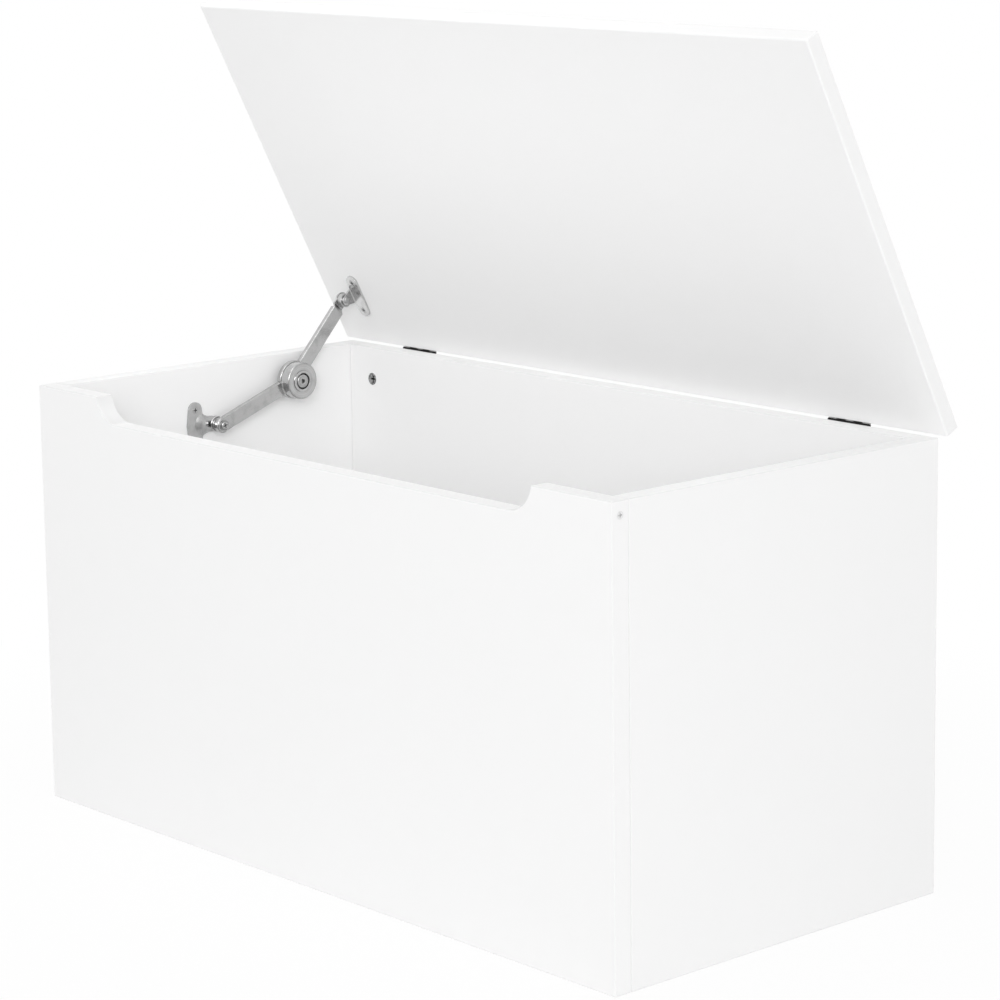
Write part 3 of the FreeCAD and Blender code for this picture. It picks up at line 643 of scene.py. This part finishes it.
@dataclass
class Carcase(SubAssembly):
    """The four walls and the bottom, with the fittings that join them."""

    lacquer: WhiteLacquer = WhiteLacquer()
    zinc: CastZinc = CastZinc()
    bolt_plate: CoatedSteel = CoatedSteel(level=0.5, roughness=0.25, metallic=1.0)
    # the end screws' white darkens only a little in the shade painted into their recesses
    screw_coat: CoatedSteel = CoatedSteel(level=0.86, roughness=0.4, gap_shade=0.75)
    beech: RawBeech = RawBeech()
    walls: tuple[str, ...] = ("front_panel", "back_panel", "left_side_panel", "right_side_panel",
                              "bottom_panel")
    finger_notch: Notch = Notch(half_width=269.37 * MM, sill=176.5 * MM, corner=28 * MM)

    def dress(self) -> None:
        """Give the boards, cams, bolts, dowels and end screws their finishes."""
        for wall in self.walls:
            low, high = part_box(wall)
            place = BoardPlace((low + high) / 2, (high - low) / 2)
            notch = self.finger_notch if wall == "front_panel" else None
            self.coat(wall, self.lacquer.build(f"white_lacquer_{wall}", place, notch))
        zinc = self.zinc.build("cast_zinc")
        plated = self.bolt_plate.build("plated_bolt")
        for joint in ("back", "front"):
            self.coat(f"{joint}_cam_locks", zinc)
            self.coat(f"{joint}_cam_bolts", plated)
            self.coat(f"{joint}_dowels", self.beech.build(f"raw_beech_{joint}", joint == "back"))
        self.coat("front_panel_end_screws", self.screw_coat.build("pale_coated_screw"))


@dataclass
class Lid(SubAssembly):
    """The lid's board and the two hinges that carry it."""

    width: float = 799 * MM
    depth: float = 384 * MM
    board: float = 15 * MM
    opening: float = math.radians(63)
    lacquer: WhiteLacquer = WhiteLacquer()
    hinge_coat: CoatedSteel = CoatedSteel(level=0.012, roughness=0.5, gloss=0.12)

    def dress(self) -> None:
        """Give the lid and its hinges their finishes."""
        low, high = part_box("lid_panel")
        half = Vector((self.width, self.depth, self.board)) / 2
        place = BoardPlace((low + high) / 2, half, -self.opening)
        self.coat("lid_panel", self.lacquer.build("white_lacquer_lid_panel", place))
        black = self.hinge_coat.build("black_hinge_coat")
        for side in ("left", "right"):
            for piece in ("hinge_back_leaf", "hinge_lid_leaf", "hinge_pin"):
                self.coat(f"{side}_{piece}", black)
        for screws in ("hinge_back_screws", "hinge_lid_screws"):
            self.coat(screws, black)


@dataclass
class LidStay(SubAssembly):
    """The folding friction stay between the left wall and the lid."""

    drum_radius: float = 18 * MM
    nickel: PressedNickel = PressedNickel()
    # painted reflection: the lid bracket wears a lighter copy of the nickel, for the bright surroundings that
    # its flat plate reflects
    lit_lid_bracket_nickel: PressedNickel = PressedNickel(level=0.74, stain=0.5)
    # the pivot pieces take a stronger shade painted into their gaps
    pivot_nickel: PressedNickel = PressedNickel(roughness=0.3, gap_shade_ramp=(0.35, 0.92))
    screw_plate: CoatedSteel = CoatedSteel(level=0.52, roughness=0.22, metallic=1.0)
    lining: FibreLining = FibreLining()

    def pivot(self, name: str) -> Vector:
        """Middle of a round node, on the axis that it turns about."""
        low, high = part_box(name)
        return (low + high) / 2

    def dress(self) -> None:
        """Give the stay's pieces their finishes."""
        wall = self.pivot("stay_lower_pivot_washer")
        elbow = self.pivot("stay_pressure_plate")
        lid = self.pivot("stay_upper_pivot_ring")
        for node, start, end in (("stay_lower_arm", elbow, wall), ("stay_upper_arm", elbow, lid)):
            run = end - start
            slope = math.atan2(run.z, run.y)
            finish = self.nickel.build(f"nickel_{node}", Grain.ALONG, start, slope, self.drum_radius)
            self.coat(node, finish)
        for node, plating in (("stay_side_bracket", self.nickel),
                              ("stay_lid_bracket", self.lit_lid_bracket_nickel)):
            self.coat(node, plating.build(f"nickel_{node}", Grain.TUMBLED))
        for node, axis in (("stay_lower_pivot_bush", wall), ("stay_lower_pivot_washer", wall),
                           ("stay_lower_pivot_screw", wall), ("stay_centre_bolt", elbow),
                           ("stay_pressure_plate", elbow), ("stay_disc_spring", elbow),
                           ("stay_upper_pivot_ring", lid), ("stay_upper_pivot_rivet", lid)):
            self.coat(node, self.pivot_nickel.build(f"nickel_{node}", Grain.TURNED, axis))
        screw = self.screw_plate.build("plated_screw")
        for node in ("stay_side_bracket_screws", "stay_lid_bracket_screws"):
            self.coat(node, screw)
        self.coat("stay_friction_disc", self.lining.build("fibre_lining"))


@dataclass(frozen=True)
class SoftLamp:
    """Flat lamp with an even soft face, square unless its height is given."""

    name: str
    place: Vector
    target: Vector
    size: float
    power: float
    height: float = 0.0

    def hang(self) -> None:
        """Put the lamp in its place, facing its target and unseen by the camera."""
        lamp = bpy.data.lights.new(self.name, "AREA")
        lamp.shape = "RECTANGLE"
        lamp.size = self.size
        lamp.size_y = self.height or self.size
        lamp.energy = self.power
        item = bpy.data.objects.new(self.name, lamp)
        bpy.context.scene.collection.objects.link(item)
        item.location = self.place
        item.rotation_euler = (self.target - self.place).to_track_quat("-Z", "Y").to_euler()
        item.visible_camera = False


@dataclass
class Studio:
    """Pale floor, soft lamps and white surroundings.

    The floor shows as white by the share floor_white, and wholly so beyond the shadow's reach from the chest.
    """

    floor_size: float = 12.0
    floor_level: float = 0.9
    floor_roughness: float = 0.7
    floor_gloss: float = 0.2
    floor_white: float = 0.93
    shadow_reach: tuple[float, float] = (0.45, 0.95)
    room_light: float = 0.61
    lamps: tuple[SoftLamp, ...] = (
        SoftLamp("inside_lamp", Vector((-0.25, -0.5, 1.5)), Vector((-0.25, 0.1, 0.42)),
                 size=0.6, power=2.3),
        SoftLamp("mouth_lamp", Vector((0.0, -0.17, 0.52)), Vector((0.0, 0.19, 0.46)),
                 size=0.7, height=0.14, power=0.21),
        SoftLamp("front_lamp", Vector((5.2, -4.8, 2.9)), Vector((0.0, 0.0, 0.35)),
                 size=3.2, power=228.0),
        SoftLamp("right_lamp", Vector((6.8, -1.8, 2.6)), Vector((0.0, 0.0, 0.35)),
                 size=3.0, power=12.3),
        SoftLamp("top_lamp", Vector((-0.2, -0.5, 3.6)), Vector((-0.2, 0.0, 0.4)),
                 size=2.4, power=9.5),
        SoftLamp("back_lamp", Vector((-1.3, 6.9, 0.4)), Vector((0.0, 0.0, 0.4)),
                 size=2.2, height=0.6, power=56.0),
        SoftLamp("left_lamp", Vector((-6.9, 1.0, 0.4)), Vector((0.0, 0.0, 0.4)),
                 size=2.2, height=0.6, power=56.0),
    )

    def build(self) -> None:
        """Make the floor, the lamps and the world."""
        self._floor()
        self._world()
        for lamp in self.lamps:
            lamp.hang()

    def _floor(self) -> None:
        """Lay the floor, which shows as white with the chest's shadow on it."""
        mesh = bpy.data.meshes.new("floor")
        form = bmesh.new()
        bmesh.ops.create_grid(form, x_segments=1, y_segments=1, size=self.floor_size / 2)
        form.to_mesh(mesh)
        form.free()
        floor = bpy.data.objects.new("floor", mesh)
        bpy.context.scene.collection.objects.link(floor)
        recipe = Recipe("pale_floor")
        recipe.set(Base_Color=grey(self.floor_level), Roughness=self.floor_roughness,
                   Specular_IOR_Level=self.floor_gloss)
        x, y, _ = recipe.axes(recipe.coordinates())
        away = (x * x + y * y).root().ramp(*self.shadow_reach)
        white = self.floor_white + away * (1.0 - self.floor_white)
        glow = recipe.make("ShaderNodeEmission", sockets={"Color": grey(1.0), "Strength": 1.0})
        blend = recipe.make("ShaderNodeMixShader", sockets={
            0: recipe.seen_directly() * white, 1: recipe.shader.outputs["BSDF"], 2: glow.outputs["Emission"]})
        recipe.feed(recipe.output.inputs["Surface"], blend.outputs["Shader"])
        mesh.materials.append(recipe.material)

    def _world(self) -> None:
        """Light the chest evenly from all around, and show the room as plain white."""
        world = bpy.data.worlds.new("studio")
        bpy.context.scene.world = world
        graph = Graph(world)
        room = graph.make("ShaderNodeBackground", sockets={
            "Color": grey(1.0), "Strength": self.room_light})
        shown = graph.make("ShaderNodeBackground", sockets={"Color": grey(1.0), "Strength": 1.0})
        blend = graph.make("ShaderNodeMixShader", sockets={
            0: graph.seen_directly(), 1: room.outputs["Background"], 2: shown.outputs["Background"]})
        graph.make("ShaderNodeOutputWorld", sockets={"Surface": blend.outputs["Shader"]})


@dataclass
class PhotoCamera:
    """Camera at the photograph's angle, with its lens and sensor in millimetres."""

    place: Vector = Vector((2.25198, -1.96201, 0.92583))
    azimuth: float = math.radians(48.4349)
    elevation: float = math.radians(10.1787)
    roll: float = math.radians(-0.7647)
    sensor: float = 36.0
    lens: float = 122.3214
    shift: float = -0.08
    farthest: float = 100.0

    def build(self) -> None:
        """Make the camera and make it the scene's own."""
        data = bpy.data.cameras.new("photo_camera")
        data.sensor_width = self.sensor
        data.lens = self.lens
        data.shift_y = self.shift
        data.clip_end = self.farthest
        item = bpy.data.objects.new("photo_camera", data)
        bpy.context.scene.collection.objects.link(item)
        upright = Euler((math.pi / 2 - self.elevation, 0.0, self.azimuth)).to_matrix()
        item.matrix_world = (Matrix.Translation(self.place)
                             @ (upright @ Matrix.Rotation(self.roll, 3, "Z")).to_4x4())
        bpy.context.scene.camera = item


def main() -> None:
    """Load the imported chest, dress it, and set up the studio and the camera."""
    logging.basicConfig(level=logging.INFO, format="%(name)s: %(message)s")
    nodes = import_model()["nodes"]
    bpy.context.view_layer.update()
    bpy.context.scene.view_settings.view_transform = "Standard"
    for assembly in (Carcase(nodes), Lid(nodes), LidStay(nodes)):
        assembly.dress()
        LOG.info("%s dressed", type(assembly).__name__)
    Studio().build()
    PhotoCamera().build()


if __name__ == "__main__":
    main()
